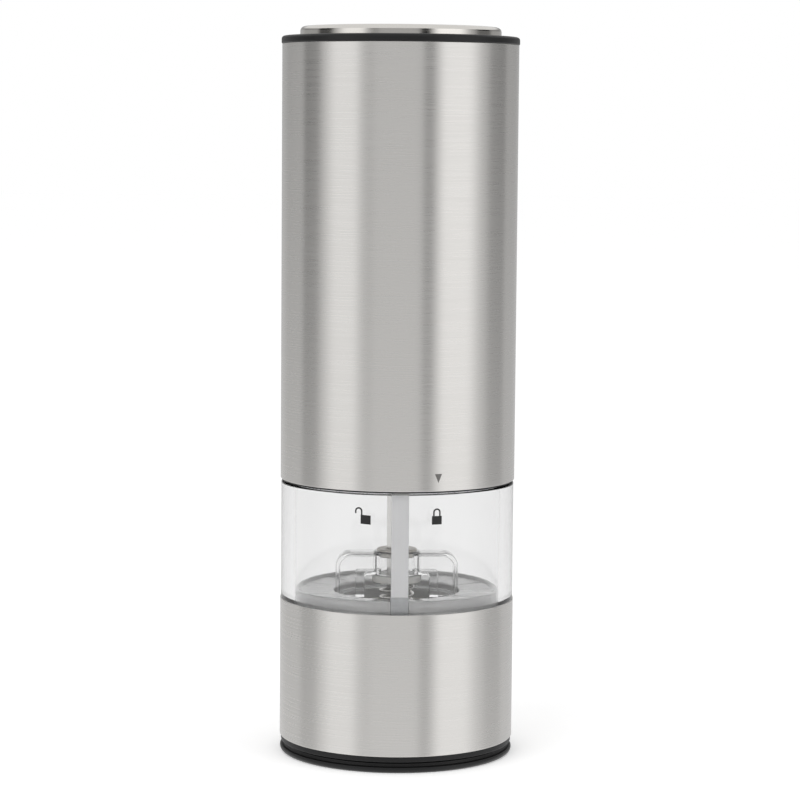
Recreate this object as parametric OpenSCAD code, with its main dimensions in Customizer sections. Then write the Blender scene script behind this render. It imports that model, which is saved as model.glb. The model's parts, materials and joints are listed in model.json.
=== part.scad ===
// Electric spice grinder with a clear chamber, a ceramic mill and a push button on top.
// Millimetres, +Z up. The origin is the centre of the face that the grinder stands on.
// The front, with the light strip, faces -Y.

/* [Case] */
// Outer diameter of both steel sleeves
case_d = 65; // [64:0.5:72]
// Wall of the steel sleeves
sleeve_t = 0.6; // [0.4:0.1:0.8]
// Length of the lower steel sleeve
lower_sleeve_h = 38.7; // [38.2:0.1:60]
// Height of the clear band between the sleeves
band_h = 32.5; // [24:0.5:70]
// Step of the clear band behind the face of the steel
band_step = 0.2; // [0:0.1:0.4]
// Dark line between the clear band and the upper sleeve
lock_line = 0.9; // [0.3:0.1:1.2]

/* [Base cover] */
// Height of the cover's lip
cover_lip_h = 1.6; // [1.4:0.1:3]
// Height of the finger groove above the lip
cover_groove_h = 1.3; // [0.8:0.1:2.5]
// Depth of the finger groove behind the lip
cover_groove_d = 1.2; // [0.6:0.1:1.8]
// Height of the cover's spigot above its groove
spigot_h = 6; // [4:0.5:8]
// Wall of the spigot
spigot_t = 1.6; // [1.2:0.1:2.4]
// Visible height of the black collar
collar_h = 1.6; // [1:0.1:3]
// Height of the collar inside the sleeve
collar_in_h = 8; // [6:0.5:10]
// Wall of the collar inside the sleeve
collar_t = 1.9; // [1.6:0.1:2.8]

/* [Spice chamber] */
// Wall of the chamber at the clear band
chamber_t = 3.8; // [3.6:0.1:4.8]
// Width of the ledge that carries the dish
dish_ledge = 0.9; // [0.6:0.1:1.5]
// Height of the neck above the band
neck_h = 7.5; // [6.5:0.5:12]
// Wall of the neck
neck_t = 1.3; // [1:0.1:1.6]
// Bayonet lugs on the neck
lug_count = 4; // [3:1:4]
// Height of a lug
lug_h = 2; // [1.5:0.5:2.5]
// Depth of a lug
lug_d = 0.9; // [0.6:0.1:1.1]
// Angle that a lug covers
lug_angle = 16; // [10:1:18]
// Twist from locked to open
twist_angle = 37; // [25:1:40]

/* [Mill housing] */
// Height of the dish's rim
dish_h = 3.8; // [3:0.1:5.5]
// Fall of the dish towards the mill
dish_fall = 0.6; // [0.2:0.1:1.5]
// Drop of the dish below the top of the lower sleeve
dish_drop = 0.5; // [0:0.1:3]
// Diameter of the mill's opening
throat_d = 34.8; // [34.8:0.2:38]
// Height of the bridge's seat above the dish's underside
seat_rise = 0.8; // [0.5:0.1:1.5]
// Width of the bridge's seat
seat_w = 2.4; // [2.2:0.1:2.6]
// Outer diameter of the ceramic stator
stator_d = 33; // [31:0.5:34]
// Height of the stator
stator_h = 14; // [12:0.5:16]
// Depth of the stator's top below the dish's underside
stator_drop = 2.2; // [1.5:0.1:4]
// Wall round the stator
throat_t = 2; // [1.5:0.1:3]
// Thickness of the ring that holds the stator
holder_t = 3.5; // [2.5:0.5:4]
// Distance of the holder's screws from the wall round the stator
holder_screw_out = 2.4; // [2:0.1:2.8]
// Diameter of the holder's bore, round the end of the rotor
holder_bore_d = 28; // [27:0.5:29]

/* [Bridge] */
// Half width of the outer arch
arch_w = 16.95; // [16:0.05:17]
// Height of the outer arch above its seat
arch_h = 12.4; // [11:0.1:16]
// Corner radius of the outer arch
arch_r = 3.8; // [3:0.1:6]
// Thickness of the outer arch
arch_t = 1.1; // [0.9:0.1:2]
// Depth of both arches
arch_d = 6; // [4:0.5:6]
// Thickness of the web between the arches
web_t = 1.2; // [1:0.1:2.5]
// Half width of the inner arch
inner_w = 11.5; // [10:0.1:12.5]
// Height of the inner arch above the seat
inner_h = 7.1; // [6.8:0.1:8]
// Leg width of the inner arch
inner_leg = 2.5; // [1.5:0.1:3]
// Bar thickness of the inner arch
inner_t = 1; // [0.8:0.1:2]
// Corner radius of the inner arch
inner_r = 0.8; // [0.5:0.1:1.5]
// Outer diameter of the shaft's hub
hub_d = 13.2; // [12.2:0.2:14]
// Height of the hub
hub_h = 6.4; // [6:0.1:12]
// Height of the hub's underside above the bridge's seat
hub_lift = 6.3; // [6:0.1:6.5]
// Outer diameter of the bush in the hub
bush_d = 10; // [9:0.1:10.6]
// Length of the bush in the hub
bush_l = 1.6; // [1:0.1:4]

/* [Drive] */
// Width across flats of the hexagonal shaft
hex_w = 5; // [4:0.1:5]
// Diameter of the threaded end of the shaft
stud_d = 4; // [3:0.5:4]
// Rise of the thread in one turn
stud_pitch = 0.7; // [0.5:0.1:0.8]
// Outer diameter of the spring's seat under the hub
seat_d = 13.7; // [13:0.1:15]
// Thickness of the spring's seat
seat_t = 2; // [1.6:0.1:3]
// Outer diameter of the mill's spring
spring_d = 10; // [9.6:0.1:10.2]
// Wire of the mill's spring
spring_wire = 0.9; // [0.7:0.1:0.9]
// Turns of the mill's spring
spring_turns = 3.5; // [2.5:0.5:3.5]
// Outer diameter of the output socket
socket_d = 12; // [11:0.5:14]
// Diameter of the socket's spindle in the gearbox
spindle_d = 8; // [7.6:0.1:9]
// Length of the shaft above the lid
shaft_grip = 8.5; // [6:0.5:9]

/* [Burrs] */
// Large radius of the rotor, at its grinding edge
rotor_r = 12.4; // [11.5:0.1:12.6]
// Small radius of the rotor, at its top
rotor_top_r = 8.2; // [7.8:0.1:9]
// Height of the rotor's top above the stator
rotor_rise = 1; // [0:0.1:2]
// Depth of the spring's pocket in the rotor
spring_pocket = 2; // [1:0.1:3]
// Gap between the burrs, square to their faces, at the finest setting
grind_gap = 0.4; // [0.3:0.05:0.6]
// Teeth of the coarse band
coarse_teeth = 8; // [6:1:10]
// Teeth of the fine band
fine_teeth = 24; // [18:1:30]
// Lean of the teeth
tooth_lean = 25; // [10:1:30]
// Bore of the rotor, round its core
core_d = 12; // [11.8:0.1:12.6]
// Thickness of the core's flange under the rotor
core_flange_t = 1.5; // [1:0.1:2]
// Diameter of the adjusting knob
knob_d = 17; // [15:0.5:20]
// Height of the adjusting knob
knob_h = 10; // [8:0.5:10]

/* [Light] */
// Width of the light strip
strip_w = 4.5; // [4:0.1:6]
// Depth of the light strip
strip_d = 2.6; // [2.4:0.1:3.5]
// Height of the strip's top below the band's top
strip_drop = 0.3; // [0:0.1:1]
// Height of the boot that the strip stands in
boot_h = 4.9; // [4.1:0.1:8]
// Width of the wire duct under the strip
duct_w = 3.6; // [2.5:0.1:4]
// Depth of the wire duct
duct_d = 1.6; // [1.2:0.1:1.8]
// Height of the light's board below the dish's underside
led_drop = 21; // [16:0.5:22]

/* [Top housing] */
// Thickness of the chamber's seal
seal_t = 1.3; // [1:0.1:2]
// Thickness of the lid's plate
lid_t = 2.2; // [1.8:0.1:4]
// Height of the motor's bay
motor_bay_h = 39; // [38:0.5:60]
// Wall of the motor's housing
housing_t = 2; // [1.5:0.1:3]
// Diameter of the gearbox
gearbox_d = 30; // [26:0.5:36]
// Height of the gearbox
gearbox_h = 12; // [11.5:0.5:13]
// Diameter of the motor
motor_d = 24.2; // [20:0.1:26]
// Length of the motor's can
motor_h = 20; // [15:0.5:21]
// Distance of the lid's screws from the housing's face
lid_screw_in = 6.2; // [6:0.1:6.6]
// Distance of the housing's upper screws from its face
housing_screw_in = 4.2; // [4:0.1:4.6]

/* [Batteries] */
// Diameter of a cell
cell_d = 14.2; // [13:0.1:14.5]
// Length of a cell with its stud
cell_l = 50.5; // [40:0.5:60]
// Distance of the cells from the face of the holder
cell_in = 5.5; // [4.5:0.1:6.5]
// Thickness of the holder's decks
deck_t = 3; // [2.5:0.1:5]
// Distance of the post's face inside the cells' axes
post_in = 0.5; // [0:0.1:2.5]
// Thickness of the contact plates
plate_t = 0.5; // [0.3:0.1:0.6]
// Length of a pressed contact spring
cell_spring_h = 2.5; // [2:0.1:4]
// Wire of the contact springs
cell_wire = 0.6; // [0.5:0.1:0.7]

/* [Button] */
// Rise of the button above its ring
button_rise = 2.6; // [2.4:0.1:5]
// Travel of the button
button_travel = 2; // [1:0.1:2.2]
// Rounding of the button's edge
button_edge = 1.3; // [0.5:0.1:1.6]
// Wall of the button
button_t = 1.5; // [1:0.1:2]
// Width of the flange that keeps the button in
button_flange = 1.6; // [1:0.1:1.8]
// Step of the top ring past the face of the steel
ring_proud = 0.2; // [0:0.1:1]
// Width of the top ring's face
ring_face = 4.7; // [4.3:0.1:5.3]
// Visible height of the top ring
ring_h = 2.1; // [1.5:0.1:4]
// Height of the ring's guide for the button, under its visible part
ring_throat_h = 3.8; // [2:0.1:6]
// Thickness of the guide plate under the button
guide_t = 2; // [1.5:0.1:3]
// Diameter of the button's stem
stem_d = 6; // [5:0.1:6.6]
// Wire of the button's spring
button_wire = 0.8; // [0.6:0.1:0.8]
// Turns of the button's spring
button_turns = 4.5; // [3.5:0.5:4.5]

/* [Clearances] */
// Gap between pieces that move past each other
run_gap = 0.3; // [0.3:0.05:0.35]
// Radial gap of pieces that are fitted into each other
fit_gap = 0.1; // [0.05:0.05:0.15]
// Radial gap of a shaft in its bore
shaft_gap = 0.06; // [0.03:0.01:0.09]
// Rounding of small edges
edge_r = 0.3; // [0.2:0.1:0.3]

/* [Hidden] */
$fn = 96;
// How far a cut runs past the face it opens
cut = 1;

// Radii of the case
case_r = case_d / 2;
sleeve_in_r = case_r - sleeve_t;
band_r = case_r - band_step;
tube_r = sleeve_in_r - fit_gap;
frame_r = sleeve_in_r - run_gap;
collar_bore_r = tube_r - collar_t;
chamber_r = band_r - chamber_t;
ledge_r = chamber_r - dish_ledge;
neck_r = chamber_r + neck_t;
lug_r = neck_r + lug_d;

// Heights from the ground to the chamber's neck
collar_z = cover_lip_h + cover_groove_h;
sleeve_z = collar_z + collar_h;
tube_z = sleeve_z + collar_in_h;
band_z = sleeve_z + lower_sleeve_h;
shoulder_z = band_z + band_h;
upper_z = shoulder_z + lock_line;
neck_z = shoulder_z + neck_h;
lug_z = shoulder_z + (neck_h - lug_h) / 2;

// Heights of the top, from the chamber's seal to the button
seal_z = neck_z + run_gap;
lid_z = seal_z + seal_t;
housing_z = lid_z + lid_t;
deck_z = housing_z + motor_bay_h;
bay_z = deck_z + deck_t;
upper_deck_z = bay_z + 2 * plate_t + cell_spring_h + cell_l;
deck_top_z = upper_deck_z + deck_t;
guide_z = deck_top_z + run_gap;
guide_top_z = guide_z + guide_t;
flange_z = guide_top_z + button_travel + run_gap;
flange_top_z = flange_z + button_t;
ring_seat_z = flange_top_z + run_gap;
ring_z = ring_seat_z + ring_throat_h;
ring_top_z = ring_z + ring_h;
button_top_z = ring_top_z + button_rise;

// Mill, hung from the dish
dish_z = band_z - dish_drop;
rim_z = dish_z + dish_h;
throat_r = throat_d / 2;
seat_z = dish_z + seat_rise;
seat_in_r = throat_r - seat_w;
stator_r = stator_d / 2;
stator_top_z = dish_z - stator_drop;
stator_z = stator_top_z - stator_h;
throat_out_r = stator_r + fit_gap + throat_t;
holder_screw_r = throat_out_r + holder_screw_out;
stator_keys = 3;
key_w = 3;
key_d = 0.8;
screw_r = 1.4;
screw_head_r = 2.6;
screw_head_h = 1.6;
screw_l = 8;
screw_boss_r = 3;
ears = [90, 210, 330];

// Drive and rotor, on the axis
hex_r = hex_w / sqrt(3);
hex_hole_r = (hex_w + 2 * shaft_gap) / sqrt(3);
hub_z = seat_z + hub_lift;
hub_top_z = hub_z + hub_h;
hub_edge = 0.5;
seat_top_z = hub_z - run_gap;
rotor_top_z = stator_top_z + rotor_rise;
rotor_drop = 0.5;
rotor_z = stator_z - rotor_drop;
core_r = core_d / 2;
core_top_z = rotor_top_z - spring_pocket;
core_z = rotor_z - core_flange_t;
core_flange_r = 9;
fine_h = 5.4;
fine_taper = 1.2;
edge_h = 0.6;
fine_z = rotor_z + edge_h;
knob_top_z = core_z - fit_gap;
knob_z = knob_top_z - knob_h;
knob_floor = 1.2;
stud_z = knob_z + knob_floor + stud_pitch;
shaft_top_z = housing_z + shaft_grip;

// Light, at the front
strip_back = sqrt(pow(chamber_r, 2) - pow(strip_w / 2, 2)) - fit_gap;
duct_back = ledge_r - run_gap;
boot_w = strip_w + 0.2;
boot_top_z = dish_z + boot_h;
boot_front = strip_back - strip_d - 2 * run_gap;
strip_top_z = shoulder_z - strip_drop;
contact_w = strip_w;
contact_d = 2.4;
contact_h = 0.6;
contact_y = strip_back - strip_d / 2;
led_z = dish_z - led_drop;
led_board_t = 1.2;
led_board = [9, 7];
led_r = 2.4;
led_h = 2.4;
pin_block = [6.4, 2.9, 6.8];
pin_r = 0.6;
pin_space = 1.4;
pin_hole = 2;
pin_z = strip_top_z + contact_h + run_gap;

// Top housing, cells and switch
lid_screw_r = frame_r - lid_screw_in;
housing_screw_r = frame_r - housing_screw_in;
cell_r = frame_r - cell_d / 2 - cell_in;
post_r = cell_r - post_in;
trough_r = cell_d / 2 + run_gap;
stud_h = 1.2;
plate_r = 5.5;
strap_w = 6;
switch_pocket_r = 9;
switch_pocket = 8.2;
board_t = 1.2;
switch_w = 7;
switch_h = 3.6;
switch_floor = 0.4;
plunger_r = 1.7;
plunger_head_r = 2.5;
plunger_head_h = 1.2;
switch_z = deck_top_z - switch_pocket + board_t;
plunger_z = switch_z + switch_floor + button_travel + run_gap;
plunger_top_z = deck_top_z + run_gap;

// Button
ring_r = case_r + ring_proud;
ring_bore_r = ring_r - ring_face;
button_r = ring_bore_r - run_gap - fit_gap;
button_flange_r = button_r + button_flange;
ring_skirt_r = button_flange_r + run_gap + fit_gap;
stem_r = stem_d / 2;
stem_z = plunger_top_z + run_gap;
boss_r = stem_r + 2;
boss_h = 2.7;
spokes = 3;
spoke_w = 5;
carrier_r = button_r - button_t - fit_gap;
carrier_t = 1.8;
carrier_z = button_top_z - button_t - carrier_t;

// Points of an arc round c, from angle a to angle b
function arc(c, r, a, b, n = 6) = [
    for (i = [0:n]) c + r * [cos(a + (b - a) * i / n), sin(a + (b - a) * i / n)]
];

// Outline of an arch that stands on the X axis: half width w, height h, corners r
function arch(w, h, r) = concat(
    [[-w, 0]], arc([r - w, h - r], r, 180, 90), arc([w - r, h - r], r, 90, 0), [[w, 0]]
);

// A profile in radius and height, turned round the axis
module turned(points) rotate_extrude() polygon(points);

module disc(r, z, h) translate([0, 0, z]) cylinder(h = h, r = r);

module tube(r, bore, z, h) difference() {
    disc(r, z, h);
    disc(bore, z - cut, h + 2 * cut);
}

// A piece with six flats, with two corners on the X axis
module hexagon(r, z, h) translate([0, 0, z]) cylinder(h = h, r = r, $fn = 6);

// A wedge round the axis that reaches past radius r
module sector(r, a, b, z, h) translate([0, 0, z]) linear_extrude(h)
    polygon(concat([[0, 0]], arc([0, 0], 1.3 * r, a, b)));

module bar(x, y0, y1, z0, z1) translate([-x / 2, y0, z0]) cube([x, y1 - y0, z1 - z0]);

module at(r, a) rotate([0, 0, a]) translate([r, 0, 0]) children();

// A pan-head screw on the axis, its head above z (up) or below it
module screw(z, up) translate([0, 0, z]) mirror([0, 0, up ? 0 : 1]) {
    cylinder(h = screw_head_h, r = screw_head_r);
    translate([0, 0, -screw_l]) cylinder(h = screw_l, r = screw_r);
}

// A round spring as one tube of wire along a helix, 8 rings to a turn and 6 sides
COIL_RINGS = 8;
COIL_SIDES = 6;
function coil_mid(r0, r1, z0, z1, turns, i) =
    let (n = turns * COIL_RINGS, a = 360 * i / COIL_RINGS, r = r0 + (r1 - r0) * i / n)
    [r * cos(a), r * sin(a), z0 + (z1 - z0) * i / n];
function coil_gap(r0, r1, z0, z1, turns, wire) = min([
    for (i = [0:turns * COIL_RINGS]) for (j = [i + COIL_RINGS / 2:turns * COIL_RINGS])
        norm(coil_mid(r0, r1, z0, z1, turns, i) - coil_mid(r0, r1, z0, z1, turns, j)) - wire
]);
module coil(name, r0, r1, z0, z1, turns, wire) {
    n = turns * COIL_RINGS;
    points = [
        for (i = [0:n]) for (k = [0:COIL_SIDES - 1])
            let (a = 360 * i / COIL_RINGS, b = 360 * k / COIL_SIDES)
            coil_mid(r0, r1, z0, z1, turns, i)
                + wire / 2 * [cos(b) * cos(a), cos(b) * sin(a), sin(b)]
    ];
    sides = [
        for (i = [0:n - 1]) for (k = [0:COIL_SIDES - 1]) for (half = [0, 1])
            let (p = i * COIL_SIDES + k, q = i * COIL_SIDES + (k + 1) % COIL_SIDES)
            half == 0 ? [p, q, q + COIL_SIDES] : [p, q + COIL_SIDES, p + COIL_SIDES]
    ];
    ends = [
        for (k = [1:COIL_SIDES - 2]) for (end = [0, n * COIL_SIDES])
            end == 0 ? [0, k + 1, k] : [end, end + k, end + k + 1]
    ];
    echo(str("least gap of ", name, " to itself"), coil_gap(r0, r1, z0, z1, turns, wire));
    polyhedron(points, concat(sides, ends));
}

// Base cover: a foot ring, a lip with a rounded edge, the groove and a hollow spigot
foot_w = 9;
foot_recess = 0.5;
cover_t = 1.5;
lip_r = case_r - fit_gap;
lip_edge = 1;
groove_r = lip_r - cover_groove_d;
spigot_r = collar_bore_r - run_gap;
spigot_in_r = spigot_r - spigot_t;
spigot_top_z = collar_z + spigot_h;
cover_floor_z = foot_recess + cover_t;
module base_cover() color("#1c1c1d") turned(concat(
    [[0, foot_recess], [lip_r - foot_w - foot_recess, foot_recess], [lip_r - foot_w, 0]],
    arc([lip_r - lip_edge, lip_edge], lip_edge, -90, 0),
    arc([lip_r - edge_r, cover_lip_h - edge_r], edge_r, 0, 90, 3),
    [[groove_r, cover_lip_h], [groove_r, collar_z - run_gap], [spigot_r, collar_z - run_gap]],
    arc([spigot_r - edge_r, spigot_top_z - edge_r], edge_r, 0, 90, 3),
    [[spigot_in_r, spigot_top_z], [spigot_in_r, cover_floor_z], [0, cover_floor_z]]
));

// Collar: closes the foot of the sleeve and carries the chamber's tube
collar_r = case_r - edge_r;
module bottom_collar() color("#242425") turned(concat(
    [[collar_bore_r, collar_z + edge_r], [collar_bore_r + edge_r, collar_z]],
    arc([collar_r - edge_r, collar_z + edge_r], edge_r, -90, 0, 3),
    [[collar_r, sleeve_z], [tube_r, sleeve_z], [tube_r, tube_z], [collar_bore_r, tube_z]]
));

// A steel sleeve, its edges broken by a hair
burr = 0.15;
module sleeve(z, h) turned([
    [sleeve_in_r, z + burr], [sleeve_in_r + burr, z], [case_r - burr, z], [case_r, z + burr],
    [case_r, z + h - burr], [case_r - burr, z + h], [sleeve_in_r + burr, z + h], [sleeve_in_r, z + h - burr]
]);
module lower_sleeve() color("#c2bfba") sleeve(sleeve_z, lower_sleeve_h);
module upper_sleeve() color("#c2bfba") sleeve(upper_z, ring_z - upper_z);

// Chamber: one moulded tube with the clear band, the ledge for the dish and the neck with its lugs
module lug(a) intersection() {
    tube(lug_r, neck_r - neck_t / 2, lug_z, lug_h);
    sector(lug_r, a - lug_angle / 2, a + lug_angle / 2, lug_z, lug_h);
}
module spice_chamber() color("#eef2f3", 0.4) union() {
    turned(concat(
        [[ledge_r, tube_z], [tube_r, tube_z], [tube_r, band_z], [band_r, band_z]],
        arc([band_r - edge_r, shoulder_z - edge_r], edge_r, 0, 90, 3),
        [[neck_r, shoulder_z]],
        arc([neck_r - edge_r, neck_z - edge_r], edge_r, 0, 90, 3),
        [[chamber_r, neck_z], [chamber_r, dish_z], [ledge_r, dish_z]]
    ));
    for (i = [0:lug_count - 1]) lug(lug_start + lug_step * i);
}
lug_start = 45;
lug_step = 360 / lug_count;

// Dish: a rim, a floor that falls to the opening, the bridge's seat and the stator's pocket
dish_r = chamber_r - fit_gap;
pocket_r = stator_r + fit_gap;
key_r = stator_r + key_d;
module keys(grow) for (i = [0:stator_keys - 1]) at(0, 30 + 360 * i / stator_keys)
    translate([0, -key_w / 2 - grow, stator_z - grow])
        cube([key_r + grow, key_w + 2 * grow, stator_h / 2 + 2 * grow]);
module mill_housing() color("#e6ebec", 0.5) difference() {
    union() {
        turned(concat(
            [[throat_out_r, stator_z], [throat_out_r, dish_z], [dish_r, dish_z]],
            arc([dish_r - edge_r, rim_z - edge_r], edge_r, 0, 90, 3),
            [[dish_r - dish_ledge, rim_z]],
            arc([throat_r + edge_r, rim_z - dish_fall - edge_r], edge_r, 90, 180, 3),
            [[throat_r, seat_z], [seat_in_r, seat_z], [seat_in_r, stator_top_z]],
            [[pocket_r, stator_top_z], [pocket_r, stator_z]]
        ));
        for (a = ears) at(holder_screw_r, a) difference() {
            disc(screw_boss_r, stator_z, dish_z - stator_z);
            disc(screw_r + fit_gap, stator_z - cut, screw_l);
        }
    }
    disc(pocket_r, stator_z - cut, stator_top_z - stator_z + cut);
    keys(fit_gap);
    bar(boot_w + 2 * fit_gap, -case_r, -boot_front + fit_gap, dish_z - cut, rim_z + cut);
}

// Bridge: the outer arch, the web, the inner arch and the hub, in one moulding
module arch_plate(depth) translate([0, 0, seat_z]) rotate([90, 0, 0])
    linear_extrude(depth, center = true) children();
module shaft_bridge() color("#f2f5f6", 0.4) difference() {
    union() {
        arch_plate(arch_d) difference() {
            polygon(arch(arch_w, arch_h, arch_r));
            translate([0, -cut])
                polygon(arch(arch_w - arch_t, arch_h - arch_t + cut, arch_r - arch_t / 2));
        }
        arch_plate(web_t) difference() {
            polygon(arch(arch_w - arch_t / 2, arch_h - arch_t / 2, arch_r));
            translate([0, -cut])
                polygon(arch(inner_w - inner_leg / 2, inner_h - inner_t / 2 + cut, inner_r));
        }
        arch_plate(arch_d) difference() {
            polygon(arch(inner_w, inner_h, inner_r));
            translate([0, -cut]) polygon(arch(inner_w - inner_leg, inner_h - inner_t + cut, inner_r));
        }
        turned([
            [0, hub_z], [hub_d / 2, hub_z], [hub_d / 2, hub_top_z - hub_edge],
            [hub_d / 2 - hub_edge, hub_top_z], [0, hub_top_z]
        ]);
    }
    disc(bush_d / 2, hub_z - cut, hub_h + 2 * cut);
    disc(seat_d / 2 + run_gap, seat_z, hub_lift);
}

bush_flange = 0.6;
module hub_bush() color("#9a9a98") difference() {
    union() {
        disc(bush_d / 2 - fit_gap, hub_top_z - bush_l, bush_l);
        disc(bush_d / 2 + bush_flange, hub_top_z, bush_flange);
    }
    disc(hex_r + shaft_gap, hub_z, hub_h + bush_flange + cut);
}

// Burrs: the rotor's lower band is the fine one, and the stator faces it across the grinding gap
fine_top_r = rotor_r - fine_taper;
fine_slope = atan(fine_taper / fine_h);
gap_r = grind_gap / cos(fine_slope);
coarse_slope = atan((fine_top_r - rotor_top_r) / (rotor_top_z - fine_z - fine_h));
stator_fine_r = fine_top_r + gap_r;
mouth_r = seat_in_r - run_gap;
mouth_slope = atan((mouth_r - stator_fine_r) / (stator_top_z - fine_z - fine_h));
tooth_w = 1.3;
fine_tooth_w = 0.6;
// Square cuts, leaned round the axis and tilted with the cone, centred at radius r and height z
module tooth_cuts(n, r, z, w, l, slope) for (i = [0:n - 1]) rotate([0, 0, 360 * i / n])
    translate([r, 0, z]) rotate([tooth_lean, 0, 0]) rotate([0, slope, 0]) rotate([0, 0, 45])
        cube([w, w, l], center = true);
module stator_burr() color("#e9e7e1") difference() {
    union() {
        disc(stator_r, stator_z, stator_h);
        keys(0);
    }
    turned([
        [0, stator_z - cut],
        [rotor_r + gap_r + fine_taper * (cut + fine_z - stator_z) / fine_h, stator_z - cut],
        [stator_fine_r, fine_z + fine_h], [mouth_r, stator_top_z], [mouth_r, stator_top_z + cut],
        [0, stator_top_z + cut]
    ]);
    tooth_cuts(coarse_teeth, (mouth_r + stator_fine_r) / 2, (stator_top_z + fine_z + fine_h) / 2,
        tooth_w, stator_h, mouth_slope);
    tooth_cuts(fine_teeth, rotor_r - fine_taper / 2 + gap_r, fine_z + fine_h / 2,
        fine_tooth_w, fine_h + 3, -fine_slope);
}
module rotor_burr() color("#e9e7e1") difference() {
    turned([
        [core_r, rotor_z], [rotor_r - edge_h, rotor_z], [rotor_r, fine_z],
        [fine_top_r, fine_z + fine_h], [rotor_top_r, rotor_top_z - edge_h],
        [rotor_top_r - edge_h, rotor_top_z], [core_r, rotor_top_z]
    ]);
    tooth_cuts(coarse_teeth, (rotor_top_r + fine_top_r) / 2, (rotor_top_z + fine_z + fine_h) / 2,
        tooth_w, stator_h, -coarse_slope);
    tooth_cuts(fine_teeth, rotor_r - fine_taper / 2, fine_z + fine_h / 2,
        fine_tooth_w, fine_h, -fine_slope);
}
module rotor_core() color("#2a2a2c") difference() {
    union() {
        disc(core_flange_r, core_z, core_flange_t);
        disc(core_r - fit_gap, core_z, core_top_z - core_z);
    }
    hexagon(hex_hole_r, core_z - cut, core_top_z - core_z + 2 * cut);
}

module stator_holder() color("#2a2a2c") translate([0, 0, stator_z - holder_t]) difference() {
    union() {
        cylinder(h = holder_t, r = throat_out_r);
        for (a = ears) at(holder_screw_r, a) cylinder(h = holder_t, r = screw_boss_r);
    }
    disc(holder_bore_d / 2, -cut, holder_t + 2 * cut);
    for (a = ears) at(holder_screw_r, a) disc(screw_r + fit_gap, -cut, holder_t + 2 * cut);
}
module holder_screws() color("#b9b9b6") for (a = ears) at(holder_screw_r, a)
    screw(stator_z - holder_t, false);

// Knob: a fluted nut on the shaft's thread
flutes = 12;
flute_r = 1.6;
knob_edge = 1;
module adjust_knob() color("#2a2a2c") difference() {
    turned([
        [0, knob_z], [knob_d / 2 - knob_edge, knob_z], [knob_d / 2, knob_z + knob_edge],
        [knob_d / 2, knob_top_z - knob_edge], [knob_d / 2 - knob_edge, knob_top_z], [0, knob_top_z]
    ]);
    disc(stud_d / 2 + fit_gap, knob_z + knob_floor, knob_h);
    for (i = [0:flutes - 1]) at(knob_d / 2 + flute_r / 2, 360 * i / flutes)
        disc(flute_r, knob_z - cut, knob_h + 2 * cut);
}

// Shaft: a hexagon with a chamfered top and a round stud below
module drive_shaft() color("#c9c9c6") union() {
    hexagon(hex_r, rotor_z - rotor_drop, shaft_top_z - rotor_z + rotor_drop);
    disc(stud_d / 2, stud_z, rotor_z - stud_z);
}
module spring_seat() color("#d9d9d6") difference() {
    turned([
        [0, seat_top_z - seat_t], [seat_d / 2 - edge_r, seat_top_z - seat_t],
        [seat_d / 2, seat_top_z - seat_t + edge_r], [seat_d / 2, seat_top_z - edge_r],
        [seat_d / 2 - edge_r, seat_top_z], [0, seat_top_z]
    ]);
    hexagon(hex_hole_r, seat_top_z - seat_t - cut, seat_t + 2 * cut);
}
mill_coil_r = (spring_d - spring_wire) / 2;
module mill_spring() color("#c9c9c6") coil("mill_spring", mill_coil_r, mill_coil_r,
    core_top_z + spring_wire / 2 + fit_gap, seat_top_z - seat_t - spring_wire / 2 - fit_gap,
    spring_turns, spring_wire);

// Light: the strip with its wire duct, the boot, the contact cap, the board and the lamp
module light_strip() color("#f4f5f5") union() {
    linear_z = strip_top_z - boot_top_z;
    translate([0, 0, boot_top_z]) linear_extrude(linear_z) polygon([
        [-strip_w / 2, -strip_back], [strip_w / 2, -strip_back],
        [strip_w / 2, -strip_back + strip_d - edge_r], [strip_w / 2 - edge_r, -strip_back + strip_d],
        [-strip_w / 2 + edge_r, -strip_back + strip_d], [-strip_w / 2, -strip_back + strip_d - edge_r]
    ]);
    bar(duct_w, -duct_back, -duct_back + duct_d, led_z, boot_top_z + cut);
}
module strip_boot() color("#a9abac") difference() {
    bar(boot_w, -strip_back, -boot_front, dish_z, boot_top_z);
    bar(duct_w + 2 * fit_gap, -duct_back - fit_gap, -duct_back + duct_d + fit_gap,
        dish_z - cut, boot_top_z + cut);
}
module strip_contact() color("#d8d0b8") translate([0, -contact_y, strip_top_z]) linear_extrude(contact_h)
    union() {
        square([contact_w - contact_d, contact_d], center = true);
        for (s = [-1, 1]) translate([s * (contact_w - contact_d) / 2, 0]) circle(d = contact_d, $fn = 32);
    }
module led_board() color("#2f6b3c")
    bar(led_board[0], -duct_back + edge_r, -duct_back + edge_r + led_board[1], led_z - led_board_t, led_z);
module led_lamp() color("#f6f4e8", 0.8)
    translate([0, -duct_back + edge_r + led_board[1] / 2, led_z - led_board_t - led_h]) {
        cylinder(h = led_h, r = led_r);
        sphere(r = led_r);
    }

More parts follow.
